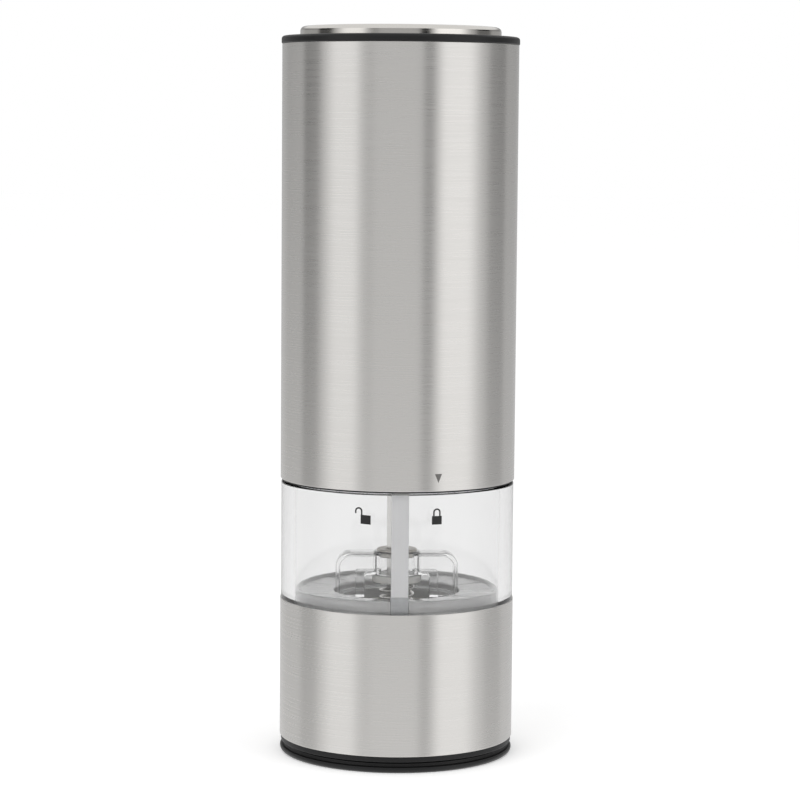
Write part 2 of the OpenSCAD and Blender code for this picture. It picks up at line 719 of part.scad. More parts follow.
// Lid: closes the chamber, and its skirt holds the bayonet's channels
lid_hole_r = socket_d / 2 + run_gap + fit_gap;
lug_turn = lug_angle / 2 + 1.5;
module channel(a) {
    intersection() {
        tube(lug_r + run_gap, neck_r, lug_z - run_gap, lug_h + 2 * run_gap);
        sector(lug_r, a - lug_turn, a + twist_angle + lug_turn, lug_z - run_gap, lug_h + 2 * run_gap);
    }
    intersection() {
        tube(lug_r + run_gap, neck_r, upper_z, lug_z - upper_z + lug_h + run_gap);
        sector(lug_r, a + twist_angle - lug_turn, a + twist_angle + lug_turn,
            upper_z, lug_z - upper_z + lug_h);
    }
}
module bayonet_lid() color("#202021") difference() {
    union() {
        turned([
            [neck_r + run_gap, upper_z + run_gap], [frame_r, upper_z + run_gap], [frame_r, housing_z],
            [0, housing_z], [0, lid_z], [neck_r + run_gap, lid_z]
        ]);
        bar(pin_block[0], -contact_y - pin_block[1] / 2 + edge_r, -contact_y + pin_block[1] / 2 + edge_r,
            lid_z - pin_block[2], lid_z + lid_t / 2);
    }
    disc(lid_hole_r, lid_z - cut, lid_t + 2 * cut);
    for (i = [0:lug_count - 1]) channel(lug_start + lug_step * i);
    for (a = ears) at(lid_screw_r, a) disc(screw_r + fit_gap, lid_z - cut, lid_t + 2 * cut);
    for (s = [-1, 1]) translate([s * pin_space, -contact_y, 0])
        disc(pin_r + fit_gap, lid_z - pin_block[2] - cut, pin_hole + cut);
}
module chamber_seal() color("#dcdcd8") tube(neck_r - fit_gap, chamber_r + fit_gap, seal_z, seal_t);
module lid_screws() color("#b9b9b6") for (a = ears) at(lid_screw_r, a) screw(lid_z, false);
module contact_pins() color("#c8a96a") for (s = [-1, 1]) translate([s * pin_space, -contact_y, 0])
    disc(pin_r, pin_z, lid_z - pin_block[2] + pin_hole - pin_z);

// Motor housing: a closed tube with screw bosses at both ends
housing_in_r = frame_r - housing_t;
boss_l = screw_l + 2;
module housing_boss(r, z) difference() {
    union() {
        disc(screw_boss_r, z, boss_l);
        translate([0, -housing_t / 2, z]) cube([housing_in_r + housing_t / 2 - r, housing_t, boss_l]);
    }
    disc(screw_r + fit_gap, z - cut, boss_l + 2 * cut);
}
module motor_housing() color("#202021") union() {
    tube(frame_r, housing_in_r, housing_z, motor_bay_h);
    for (a = ears) at(lid_screw_r, a) housing_boss(lid_screw_r, housing_z);
    for (a = [0:90:270]) at(housing_screw_r, a) housing_boss(housing_screw_r, deck_z - boss_l);
}

// Motor and gearbox: closed units on the axis
motor_flat = 10;
endcap_h = 3;
motor_boss_r = 3.5;
motor_boss_h = 1.5;
spindle_l = 10;
gearbox_edge = 1;
motor_z = housing_z + gearbox_h;
module flatted() intersection() {
    children();
    translate([-case_r, -motor_flat, 0]) cube([case_d, 2 * motor_flat, button_top_z]);
}
module gearbox() color("#d8d8d2") difference() {
    turned([
        [0, housing_z], [gearbox_d / 2, housing_z], [gearbox_d / 2, motor_z - gearbox_edge],
        [gearbox_d / 2 - gearbox_edge, motor_z], [0, motor_z]
    ]);
    disc(spindle_d / 2 + shaft_gap, housing_z - cut, spindle_l + run_gap + cut);
}
module motor_can() color("#b4b5b4") flatted() disc(motor_d / 2, motor_z, motor_h);
module motor_endcap() color("#202021") union() {
    flatted() disc(motor_d / 2 - fit_gap, motor_z + motor_h, endcap_h);
    disc(motor_boss_r, motor_z + motor_h + endcap_h, motor_boss_h);
}
module output_coupling() color("#e2e1dc") difference() {
    union() {
        disc(socket_d / 2, neck_z + run_gap, housing_z - neck_z - 2 * run_gap);
        disc(spindle_d / 2, housing_z - run_gap, spindle_l + run_gap);
    }
    hexagon(hex_hole_r, neck_z, shaft_top_z + run_gap - neck_z);
}

// Cells: the holder's deck and post, its cap, the cells, their springs and straps
cell_turn = 45;
function cell_up(i) = i % 2 == 0;
module at_cell(i) at(cell_r, cell_turn + 90 * i) children();
module plates(grow) {
    for (i = [0:3]) for (z = [bay_z, upper_deck_z - plate_t]) at_cell(i)
        disc(plate_r + grow, z - grow, plate_t + 2 * grow);
    strap(0, bay_z, grow);
    strap(2, bay_z, grow);
    strap(1, upper_deck_z - plate_t, grow);
}
// A strap from cell i to the next one
module strap(i, z, grow) rotate([0, 0, cell_turn * 2 + 90 * i])
    translate([cell_r * cos(cell_turn), 0, z + plate_t / 2]) cube([
        strap_w + 2 * grow, 2 * cell_r * sin(cell_turn), plate_t + 2 * grow
    ], center = true);
module battery_holder() color("#202021") difference() {
    union() {
        disc(frame_r, deck_z, deck_t);
        difference() {
            disc(post_r, deck_z + deck_t / 2, upper_deck_z - deck_z - deck_t / 2);
            for (i = [0:3]) at_cell(i) disc(trough_r, deck_z, upper_deck_z - deck_z + cut);
        }
    }
    strap(0, bay_z, fit_gap);
    strap(2, bay_z, fit_gap);
    strap(1, upper_deck_z - plate_t, fit_gap);
    disc(switch_pocket_r, deck_top_z - switch_pocket, switch_pocket);
    for (a = [0:90:270]) at(housing_screw_r, a) disc(screw_r + fit_gap, deck_z - cut, deck_t + 2 * cut);
}
module holder_cap() color("#202021") tube(frame_r, switch_pocket_r, upper_deck_z, deck_t);
module housing_screws() color("#b9b9b6") for (a = [0:90:270]) at(housing_screw_r, a) screw(bay_z, true);
module contact_plates() color("#cfcfc8") plates(0);
module battery_springs() color("#cfcfc8") for (i = [0:3]) at_cell(i)
    translate([0, 0, cell_up(i) ? bay_z + plate_t : upper_deck_z - plate_t - cell_spring_h])
        coil(str("battery_springs ", i + 1), cell_up(i) ? plate_r - cell_wire : cell_stud_r,
            cell_up(i) ? cell_stud_r : plate_r - cell_wire, cell_wire / 2 + fit_gap / 2,
            cell_spring_h - cell_wire / 2 - fit_gap / 2, cell_turns, cell_wire);
cell_stud_r = 2.75;
cell_turns = 2.5;
// One cell, its stud up or down
module battery_cell(i) color("#3c6f8e") at_cell(i)
    translate([0, 0, cell_up(i) ? bay_z + plate_t + cell_spring_h : bay_z + plate_t + cell_l])
        mirror([0, 0, cell_up(i) ? 0 : 1]) turned([
            [0, 0], [cell_d / 2 - edge_r, 0], [cell_d / 2, edge_r],
            [cell_d / 2, cell_l - stud_h - edge_r], [cell_d / 2 - edge_r, cell_l - stud_h],
            [cell_stud_r, cell_l - stud_h], [cell_stud_r, cell_l], [0, cell_l]
        ]);
module battery_cell_1() battery_cell(0);
module battery_cell_2() battery_cell(1);
module battery_cell_3() battery_cell(2);
module battery_cell_4() battery_cell(3);

// Switch: a push switch in the pocket at the post's top, and its plunger
module switch_board() color("#2f6b3c") disc(switch_pocket_r - fit_gap, switch_z - board_t, board_t);
module push_switch() color("#3a3a3c") difference() {
    translate([-switch_w / 2, -switch_w / 2, switch_z]) cube([switch_w, switch_w, switch_h]);
    disc(plunger_r + fit_gap, switch_z + switch_floor, switch_h);
}
module switch_plunger() color("#e4e2da") union() {
    disc(plunger_r, plunger_z, plunger_top_z - plunger_z);
    disc(plunger_head_r, plunger_top_z - plunger_head_h, plunger_head_h);
}

// Top ring: the black rim that shows, and the skirt inside the sleeve that guides the button
ring_edge = 0.8;
module top_ring() color("#1e1e1f") turned(concat(
    [[ring_skirt_r, guide_top_z], [tube_r, guide_top_z], [tube_r, ring_z]],
    arc([ring_r - edge_r, ring_z + edge_r], edge_r, -90, 0, 3),
    arc([ring_r - ring_edge, ring_top_z - ring_edge], ring_edge, 0, 90),
    arc([ring_bore_r + edge_r, ring_top_z - edge_r], edge_r, 90, 180, 3),
    [[ring_bore_r, ring_seat_z], [ring_skirt_r, ring_seat_z]]
));
module button_guide() color("#242425") difference() {
    union() {
        translate([0, 0, guide_z]) linear_extrude(guide_t) union() {
            difference() {
                circle(r = tube_r);
                circle(r = ring_skirt_r - guide_rim_w);
            }
            circle(r = boss_r);
            for (i = [0:spokes - 1]) rotate(90 + 360 * i / spokes)
                translate([0, -spoke_w / 2]) square([ring_skirt_r - guide_rim_w / 2, spoke_w]);
        }
        disc(boss_r, guide_top_z, boss_h);
    }
    disc(stem_r + shaft_gap, guide_z - cut, guide_t + boss_h + 2 * cut);
}
guide_rim_w = 4.4;
coil_room = 1;
button_coil_r = boss_r + coil_room + button_wire / 2;
module button_spring() color("#c9c9c6") coil("button_spring", button_coil_r, button_coil_r,
    guide_top_z + button_wire / 2 + fit_gap, carrier_z - button_wire / 2 - fit_gap,
    button_turns, button_wire);
module button_carrier() color("#2a2a2c") turned([
    [0, stem_z], [stem_r, stem_z], [stem_r, carrier_z], [carrier_r - button_t, carrier_z],
    [carrier_r - button_t, flange_z], [button_flange_r, flange_z], [button_flange_r, flange_top_z],
    [carrier_r, flange_top_z], [carrier_r, carrier_z + carrier_t], [0, carrier_z + carrier_t]
]);
module button_cap() color("#dcdcda") turned(concat(
    [[button_r - button_t, flange_top_z], [button_r, flange_top_z]],
    arc([button_r - button_edge, button_top_z - button_edge], button_edge, 0, 90),
    [[0, button_top_z], [0, button_top_z - button_t], [button_r - button_t, button_top_z - button_t]]
));

base_cover();
bottom_collar();
lower_sleeve();
spice_chamber();
mill_housing();
shaft_bridge();
hub_bush();
stator_burr();
stator_holder();
holder_screws();
light_strip();
strip_boot();
strip_contact();
led_board();
led_lamp();
bayonet_lid();
chamber_seal();
lid_screws();
contact_pins();
motor_housing();
gearbox();
motor_can();
motor_endcap();
battery_holder();
holder_cap();
housing_screws();
battery_cell_1();
battery_cell_2();
battery_cell_3();
battery_cell_4();
battery_springs();
contact_plates();
switch_board();
push_switch();
switch_plunger();
output_coupling();
drive_shaft();
spring_seat();
mill_spring();
rotor_burr();
rotor_core();
adjust_knob();
upper_sleeve();
top_ring();
button_guide();
button_spring();
button_carrier();
button_cap();
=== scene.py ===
import json
import math

import bmesh
import bpy
import numpy as np
from mathutils import Matrix


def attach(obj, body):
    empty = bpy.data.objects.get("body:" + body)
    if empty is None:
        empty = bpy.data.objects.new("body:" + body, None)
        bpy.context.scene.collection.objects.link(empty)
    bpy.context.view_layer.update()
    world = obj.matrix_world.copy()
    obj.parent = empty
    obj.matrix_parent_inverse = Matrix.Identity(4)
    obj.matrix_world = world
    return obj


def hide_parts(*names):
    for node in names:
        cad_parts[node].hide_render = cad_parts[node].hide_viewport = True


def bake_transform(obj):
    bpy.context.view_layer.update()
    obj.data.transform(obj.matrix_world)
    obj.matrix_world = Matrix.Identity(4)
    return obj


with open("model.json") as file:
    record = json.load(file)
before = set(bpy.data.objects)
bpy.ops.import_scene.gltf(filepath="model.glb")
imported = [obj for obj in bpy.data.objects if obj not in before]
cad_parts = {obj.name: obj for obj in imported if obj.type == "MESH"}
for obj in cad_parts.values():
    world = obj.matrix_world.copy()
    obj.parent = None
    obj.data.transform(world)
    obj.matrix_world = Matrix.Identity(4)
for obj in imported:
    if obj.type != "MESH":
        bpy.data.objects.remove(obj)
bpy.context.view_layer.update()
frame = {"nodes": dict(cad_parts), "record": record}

NODES = frame["nodes"]
BODIES = frame["record"]["behaviour"]["bodies"]
BODY = {node: body for body, nodes in BODIES.items() for node in nodes}
MM = 0.001
TAU = 2 * math.pi


# ---------------------------------------------------------------- surfaces

MERGE = 2e-6        # points nearer to each other than this, in metres, are one
HOLD = 0.02         # a point this far before and after a fillet, in mm
SHARP = 35          # edges that turn more than this, in degrees, stay sharp


def rounded(corners, steps=5):
    """The outline through corners (r, z, fillet) in mm. A corner with a fillet becomes the arc that
    touches both its sides: its centre lies on their bisector, at fillet / sin(half the corner).
    A point on each side, HOLD away from the arc, keeps the shading of long walls straight."""
    c = np.array([(*p, 0)[:3] for p in corners], float)
    before, after = np.roll(c[:, :2], 1, 0) - c[:, :2], np.roll(c[:, :2], -1, 0) - c[:, :2]
    parts = []
    for p, a, b in zip(c, before, after):
        if p[2] == 0:
            parts.append(p[None, :2])
            continue
        a, b = a / np.linalg.norm(a), b / np.linalg.norm(b)
        half = math.acos(a @ b) / 2
        mid = p[:2] + (a + b) / np.linalg.norm(a + b) * p[2] / math.sin(half)
        u, v = p[:2] + a * p[2] / math.tan(half) - mid, p[:2] + b * p[2] / math.tan(half) - mid
        t, angle = np.linspace(0, 1, steps + 1)[:, None], math.pi - 2 * half
        arc = mid + (np.sin((1 - t) * angle) * u + np.sin(t * angle) * v) / math.sin(angle)
        parts.append(np.concatenate([[arc[0] + a * HOLD], arc, [arc[-1] + b * HOLD]]))
    return np.concatenate(parts)


def new_object(name, mesh):
    piece = bpy.data.objects.new(name, mesh)
    bpy.context.scene.collection.objects.link(piece)
    return piece


def smoothed(piece, sharp):
    """Smooths all of the piece but the edges that turn more than sharp degrees."""
    piece.data.polygons.foreach_set("use_smooth", np.ones(len(piece.data.polygons), bool))
    piece.data.set_sharp_from_angle(angle=math.radians(sharp))
    return piece


def closed(piece, sharp=SHARP):
    """Merges doubles, turns the faces outwards and smooths all but the sharp edges."""
    work = bmesh.new()
    work.from_mesh(piece.data)
    bmesh.ops.remove_doubles(work, verts=work.verts, dist=MERGE)
    bmesh.ops.dissolve_degenerate(work, edges=work.edges, dist=MERGE / 2)
    bmesh.ops.recalc_face_normals(work, faces=work.faces)
    work.to_mesh(piece.data)
    work.free()
    return smoothed(piece, sharp)


def surface(name, points, rows_meet=True, sharp=SHARP):
    """A mesh from points[i, j] in mm, a quad between each four neighbours. Columns meet round the
    piece, and rows may. Doubles are merged, so that poles close, and faces turned outwards."""
    rows, columns = points.shape[:2]
    i, j = np.indices((rows - (not rows_meet), columns)).reshape(2, -1)
    i1, j1 = (i + 1) % rows, (j + 1) % columns
    quads = np.stack([i * columns + j, i * columns + j1, i1 * columns + j1, i1 * columns + j], 1)
    mesh = bpy.data.meshes.new(name)
    mesh.from_pydata((points.reshape(-1, 3) * MM).tolist(), [], quads.tolist())
    return closed(new_object(name, mesh), sharp)


def capped(name, points, sharp=SHARP):
    """The surface through rows of points, each end closed by a row that lies at its middle."""
    caps = np.broadcast_to(points.mean(1, keepdims=True), points.shape)
    return surface(name, np.concatenate([caps[:1], points, caps[-1:]]), False, sharp)


def round_axis(a, r, z, centre=(0, 0)):
    """Points at angles a of outline rows r and z: x = r sin a, y = -r cos a."""
    return np.stack([centre[0] + r * np.sin(a), centre[1] - r * np.cos(a), z + 0 * a], 2)


def turned(name, outline, turns=192, centre=(0, 0)):
    """The outline (r, z) turned round an axis, with as many columns as turns."""
    a = np.arange(turns) / turns * TAU
    return surface(name, round_axis(a, outline[:, 0, None], outline[:, 1, None], centre))


def disc(name, r, z0, z1, centre=(0, 0), turns=64):
    return turned(name, np.array([(0, z0), (r, z0), (r, z1), (0, z1)], float), turns, centre)


def box(name, low, high):
    """A plain block between two corners, used to cut with or to join."""
    (x0, y0, z0), (x1, y1, z1) = low, high
    ring = [(x0, y0), (x1, y0), (x1, y1), (x0, y1)]
    return capped(name, np.array([[(x, y, z) for x, y in ring] for z in (z0, z1)], float))


def arch(half, height, corner, steps=12):
    """The path of an arch in the XZ plane, in mm: up a leg, round a quarter arc of the corner's
    radius, along the bar and down. The arch is twice half wide."""
    a = np.linspace(0, math.pi / 2, steps + 1)
    left = np.stack([-half + corner - corner * np.cos(a), height - corner + corner * np.sin(a)], 1)
    right = left[::-1] * [-1, 1]
    leg = np.linspace(0, height - corner, 4)[:-1]
    bar = np.linspace(left[-1], right[0], 8)[1:-1]
    ends = np.stack([np.full(len(leg), -half), leg], 1)
    return np.concatenate([ends, left, bar, right, ends[::-1] * [-1, 1]])


def between(name, outer, inner, depth, base, edge=0.0):
    """The solid between two paths of as many points, depth thick: at each point its section runs
    from inner to outer, with corners rounded to the edge, and the ends are closed."""
    span = np.linalg.norm(outer - inner, axis=1)[:, None]
    width, side = span.min(), depth / 2
    across, along = rounded([(0, -side, edge), (width, -side, edge), (width, side, edge),
                             (0, side, edge)], 4).T
    inset = np.minimum(across, width - across)
    share = np.where(across < width / 2, inset / span, 1 - inset / span)[..., None]
    flat = inner[:, None] * (1 - share) + outer[:, None] * share
    along = np.broadcast_to(along, flat.shape[:2])
    return capped(name, np.stack([flat[..., 0], along, base + flat[..., 1]], 2), 50)


def combine(piece, tools, operation, sharp=SHARP):
    """Joins tools to the piece, or cuts them out of it, and removes them."""
    for tool in tools:
        change = piece.modifiers.new(operation.lower(), "BOOLEAN")
        change.object, change.operation, change.solver = tool, operation, "EXACT"
    seen = piece.evaluated_get(bpy.context.evaluated_depsgraph_get())
    done = bpy.data.meshes.new_from_object(seen)
    piece.modifiers.clear()
    piece.data = done
    for tool in tools:
        bpy.data.objects.remove(tool)
    return closed(piece, sharp)


def coil(name, r, z0, z1, turns, wire, sides=12, rings=36):
    """A spring: a circle of wire carried along x = r cos a, y = r sin a, while z goes evenly from
    its first to its last value. Both ends are closed."""
    t = np.linspace(0, 1, int(turns * rings) + 1)[:, None]
    a, b = t * turns * TAU, np.arange(sides) / sides * TAU
    r = r + wire / 2 * np.cos(b)
    z = z0 + (z1 - z0) * t + wire / 2 * np.sin(b)
    return capped(name, np.stack([r * np.cos(a), r * np.sin(a), z], 2))


INK = 0.03          # how far the ink of a sign stands out of its tube, in mm
INK_BACK = 0.02     # and how far it reaches into it


def printed(name, left, right, radius, azimuth):
    """Ink on a tube: the flat strip between two lines (u, v), wrapped round it, x = radius sin p,
    y = -radius cos p, with p = azimuth + u / radius and z = v, and given a thickness."""
    share = np.linspace(0, 1, 9)[None, :, None]
    flat = left[:, None] * (1 - share) + right[:, None] * share
    p = math.radians(azimuth) + flat[..., 0] / radius
    outside = np.stack([np.sin(p), -np.cos(p), 0 * p], 2)
    front = outside * (radius + INK) + flat[..., 1:] * [0, 0, 1]
    back = outside * (radius - INK_BACK) + flat[..., 1:] * [0, 0, 1]
    loop = np.concatenate([front, back[:, ::-1]], 1)
    caps = [np.broadcast_to((row + row[::-1]) / 2, row.shape)[None] for row in (loop[0], loop[-1])]
    return surface(name, np.concatenate([caps[0], loop, caps[1]]), rows_meet=False)


# ---------------------------------------------------------------- materials

WHITE = (1.0, 1.0, 1.0, 1.0)
BLACK = (0.0, 0.0, 0.0, 1.0)


def linear(hex_colour):
    """An sRGB hex value as linear red, green, blue and 1."""
    c = np.array([int(hex_colour[i:i + 2], 16) for i in (1, 3, 5)]) / 255
    return (*np.where(c <= 0.04045, c / 12.92, ((c + 0.055) / 1.055) ** 2.4), 1.0)


def add(tree, kind, settings=(), values=(), links=()):
    """Adds a shader node, sets its properties and input values, and links its inputs."""
    node = tree.nodes.new("ShaderNode" + kind)
    for key, value in dict(settings).items():
        setattr(node, key, value)
    for key, value in dict(values).items():
        node.inputs[key].default_value = value
    for key, socket in dict(links).items():
        tree.links.new(socket, node.inputs[key])
    return node


def ramp(tree, value, low, high, to_low=0.0, to_high=1.0, way="LINEAR"):
    """The value's place between low and high, carried to the same place between two others."""
    limits = {"From Min": low, "From Max": high, "To Min": to_low, "To Max": to_high}
    return add(tree, "MapRange", {"interpolation_type": way}, limits, {"Value": value}).outputs[0]


def blended(tree, share, first, second):
    """A colour that goes from the first, a colour or a socket, to the second by share."""
    node = add(tree, "Mix", {"data_type": "RGBA"}, links={"Factor": share})
    ends = {s.identifier: s for s in node.inputs}
    ends["B_Color"].default_value = second
    if isinstance(first, tuple):
        ends["A_Color"].default_value = first
    else:
        tree.links.new(first, ends["A_Color"])
    return next(s for s in node.outputs if s.identifier == "Result_Color")


def plain(name, colour, **sockets):
    """A material of one Principled shader, with its tree and the shader."""
    made = bpy.data.materials.new(name)
    made.use_nodes = True
    shader = made.node_tree.nodes["Principled BSDF"]
    shader.inputs["Base Color"].default_value = linear(colour)
    for key, value in sockets.items():
        shader.inputs[key.replace("_", " ").title().replace("Ior", "IOR")].default_value = value
    return made, made.node_tree, shader


def finish(name, colour, grain, bump, rough, tint=None, shade=0.0, stretch=(1, 1, 1), detail=3,
           **sockets):
    """A material with noise of a grain in mm, stretched per axis. It bumps the surface by bump mm,
    moves the roughness within the pair rough, and darkens the tint by up to shade."""
    made, tree, shader = plain(name, colour, **sockets)
    low, high = 0.3, 0.7    # nearly all of the noise lies between these
    there = add(tree, "Mapping", values={"Scale": [1 / (grain * MM * s) for s in stretch]},
                links={"Vector": add(tree, "TexCoord").outputs["Object"]})
    noise = add(tree, "TexNoise", values={"Scale": 1.0, "Detail": detail, "Roughness": 0.6},
                links={"Vector": there.outputs["Vector"]}).outputs["Fac"]
    tree.links.new(ramp(tree, noise, low, high, *rough), shader.inputs["Roughness"])
    relief = add(tree, "Bump", values={"Strength": 1.0, "Distance": bump * MM},
                 links={"Height": noise})
    tree.links.new(relief.outputs["Normal"], shader.inputs["Normal"])
    if tint:
        tone = ramp(tree, noise, low, high, 0.0, shade)
        tree.links.new(blended(tree, tone, linear(tint), BLACK), shader.inputs["Base Color"])
    return made


def brushed(made):
    """Lets the metal's brushing run round the upright axis."""
    tree = made.node_tree
    along = add(tree, "Tangent", {"direction_type": "RADIAL", "axis": "Z"})
    tree.links.new(along.outputs["Tangent"], tree.nodes["Principled BSDF"].inputs["Tangent"])
    return made


LOOKS = {
    # Stainless steel brushed round the tube: the light draws out into upright bands, and the fine
    # lines of the belt, drawn 0.3 mm apart so that they show, run round it
    "brushed_steel": brushed(finish(
        "brushed_stainless_steel", "#DFDDDA", 0.3, 0.0004, (0.26, 0.31), "#DFDDDA", 0.03,
        (60, 60, 1), 5, metallic=1.0, anisotropic=0.9, anisotropic_rotation=0.25)),
    # Bright plated steel, drawn and polished: clear reflections, with a trace of polishing lines
    "button_chrome": finish(
        "polished_chrome_plate", "#E2DFDA", 0.3, 0.0004, (0.12, 0.18), stretch=(40, 40, 1),
        metallic=1.0),
    # Cast acrylic tube, polished: clear, with the faintest long waves
    "clear_acrylic": finish(
        "clear_acrylic", "#FDFDFD", 14, 0.012, (0.01, 0.03), stretch=(1, 1, 3), detail=1,
        transmission_weight=1.0, ior=1.49),
    # Injection-moulded clear styrene: as clear as glass, with flow waves that bend the light
    "clear_styrene": finish(
        "clear_moulded_styrene", "#FAFAFA", 5, 0.012, (0.0, 0.02), detail=2,
        transmission_weight=1.0, ior=1.57),
    # The same styrene with its faces left as the mould's fine spark finish, which turns it milky
    "frosted_styrene": finish(
        "frosted_styrene", "#FFFFFF", 3.5, 0.06, (0.05, 0.12), detail=2,
        transmission_weight=0.48, ior=1.57),
    # Moulded black ABS with a spark-eroded grain of about 0.2 mm, drawn 0.4 mm so that it shows
    "black_abs": finish(
        "black_abs_fine_grain", "#0F0F10", 0.4, 0.012, (0.36, 0.5), "#131314", 0.25, ior=1.53,
        specular_ior_level=0.35),
    # Moulded black nylon, smoother than the case, with a dull sheen
    "black_nylon": finish(
        "black_nylon_moulded", "#202022", 1.2, 0.006, (0.3, 0.42), "#242427", 0.2, ior=1.53),
    # Moulded natural acetal: waxy white
    "white_acetal": finish(
        "white_acetal", "#F1F0EC", 2.5, 0.004, (0.28, 0.4), "#F3F2EE", 0.05, ior=1.48),
    # Extruded polycarbonate with a white diffuser in it: evenly milky, smooth and glossy
    "milky_polycarbonate": finish(
        "milky_polycarbonate", "#FBFCFD", 1.0, 0.004, (0.16, 0.26), "#FDFDFE", 0.03, (1, 1, 30),
        ior=1.58),
    # Soft grey elastomer, moulded: dull, a little dusty
    "grey_rubber": finish(
        "grey_elastomer", "#CBCDCF", 0.8, 0.006, (0.4, 0.55), "#CED0D2", 0.12, ior=1.5),
    # Silicone rubber, translucent white and tacky
    "silicone": finish(
        "white_silicone", "#D3D3CF", 1.5, 0.004, (0.4, 0.5), "#D6D6D2", 0.08, ior=1.43,
        transmission_weight=0.2),
    # Pressed alumina, unglazed: chalky white with a fine sintered grain
    "white_ceramic": finish(
        "unglazed_alumina", "#EBE9E2", 0.35, 0.01, (0.5, 0.65), "#EFEDE6", 0.10, ior=1.76),
    # Sintered bronze bush, grey-brown and porous, shining where the shaft rubs
    "sintered_bronze": finish(
        "sintered_bronze", "#B9B4AD", 0.3, 0.01, (0.28, 0.5), "#C0BBB4", 0.4, metallic=1.0),
    # Turned brass with a thin gold flash
    "contact_brass": finish(
        "gold_flashed_brass", "#D9C389", 0.2, 0.002, (0.14, 0.24), "#DCC68C", 0.1, (10, 10, 1),
        metallic=1.0),
    # Cold-headed steel, zinc plated: pale, slightly blue, with a fine matt crystal
    "screw_steel": finish(
        "zinc_plated_steel", "#B9BABC", 0.4, 0.003, (0.28, 0.42), "#C0C1C3", 0.15, metallic=1.0),
    # Cold-drawn bright steel bar: long fine lines along its axis
    "drawn_steel": finish(
        "cold_drawn_steel", "#DEDDDB", 0.25, 0.002, (0.18, 0.3), "#E2E1DF", 0.12, (1, 1, 40),
        metallic=1.0),
    # Drawn spring wire: bright, a little uneven from the die
    "spring_steel": finish(
        "spring_wire", "#C2C1BE", 0.3, 0.001, (0.2, 0.3), "#C8C7C4", 0.12, metallic=1.0),
    # Nickel-plated spring strip: warm, bright, finely rolled
    "nickel_plate": finish(
        "nickel_plated_strip", "#D0CCC3", 0.25, 0.002, (0.16, 0.28), "#D5D1C8", 0.12, (20, 1, 1),
        metallic=1.0),
    # Glass-fibre board under green solder mask: mottled at the 0.5 mm of its weave
    "green_board": finish(
        "green_solder_mask", "#1F5A33", 0.5, 0.006, (0.25, 0.4), "#24653A", 0.25, ior=1.5,
        coat_weight=0.4),
    # Cast epoxy lens of the lamp, clear with a milky core
    "lamp_epoxy": finish(
        "lamp_epoxy", "#F2F0E4", 1.5, 0.002, (0.04, 0.09), ior=1.54, transmission_weight=0.7),
    # Round cell in its lacquered blue sleeve: smooth and glossy
    "cell_wrap": finish(
        "lacquered_cell_sleeve", "#33617E", 6, 0.002, (0.2, 0.3), "#376887", 0.1, ior=1.5,
        coat_weight=0.5),
}


def printing_ink(name, colour):
    # Pad-printed ink: flat and slightly glossy, with a faint mottle where it lies thin
    return finish(name, colour, 0.5, 0.002, (0.35, 0.5), colour, 0.2, ior=1.5)


# ---------------------------------------------------------------- from a shape to a piece


def wear(piece, slot):
    """Gives the piece the finish of a material slot."""
    piece.data.materials.clear()
    piece.data.materials.append(LOOKS[slot])


def fit(piece, slot, node):
    """The piece wears a slot's finish, stands for the node and rides on the node's body."""
    wear(piece, slot)
    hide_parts(node)
    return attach(piece, BODY[node])


def turned_part(node, slot, corners, steps=5, turns=192):
    """The piece for a node whose outline, of corners (r, z, fillet) in mm, is turned."""
    return fit(turned("look_" + node, rounded(corners, steps), turns), slot, node)


# For copies of CAD pieces: how near, in metres, points are one, and in degrees how much an edge
# turns at most to be dissolved, and at least to stay sharp and to be broken
MERGE_CAD, FLAT, SHARP_CAD, BREAK = 1e-6, 0.6, 32, 50


def dress(node, slot, edge):
    """A merged copy of a CAD node with its edges broken by edge mm, in the slot's finish."""
    piece = new_object("look_" + node, NODES[node].data.copy())
    work = bmesh.new()
    work.from_mesh(piece.data)
    bmesh.ops.remove_doubles(work, verts=work.verts, dist=MERGE_CAD)
    bmesh.ops.dissolve_limit(work, angle_limit=math.radians(FLAT), verts=work.verts,
                             edges=work.edges)
    work.to_mesh(piece.data)
    work.free()
    smoothed(piece, SHARP_CAD)
    if edge:
        bevel = piece.modifiers.new("edges", "BEVEL")
        bevel.width, bevel.segments, bevel.limit_method = edge * MM, 2, "ANGLE"
        bevel.angle_limit, bevel.harden_normals = math.radians(BREAK), True
    return fit(piece, slot, node)


# ---------------------------------------------------------------- case

CASE_R = 32.5       # outside of both steel sleeves
CHAMBER_R = 32.3    # outside of the clear chamber

turned_part("upper_sleeve", "brushed_steel", [
    (31.9, 76.6, 0.12), (CASE_R, 76.6, 0.16), (CASE_R, 196.2, 0.16), (31.9, 196.2, 0.12)], 3, 256)
turned_part("lower_sleeve", "brushed_steel", [
    (31.9, 4.5, 0.12), (CASE_R, 4.5, 0.16), (CASE_R, 43.2, 0.16), (31.9, 43.2, 0.12)], 3, 256)
turned_part("bottom_collar", "black_abs", [
    (29.9, 2.9, 0.3), (32.2, 2.9, 0.35), (32.2, 4.5, 0.1), (31.8, 4.5), (31.8, 12.5, 0.2),
    (29.9, 12.5, 0.2)])
turned_part("base_cover", "black_abs", [
    (0, 0.5), (22.9, 0.5, 0.3), (23.4, 0, 0.2), (32.4, 0, 1.0), (32.4, 1.6, 0.35), (31.2, 1.6, 0.3),
    (31.2, 2.6, 0.2), (29.6, 2.6, 0.2), (29.6, 8.9, 0.4), (28.0, 8.9, 0.3), (28.0, 2.0, 0.6),
    (0, 2.0)])
turned_part("top_ring", "black_abs", [
    (29.6, 188.3, 0.2), (31.8, 188.3, 0.2), (31.8, 196.2), (32.7, 196.2, 0.3), (32.7, 198.3, 0.85),
    (28.0, 198.3, 0.35), (28.0, 192.4, 0.2), (29.6, 192.4)])
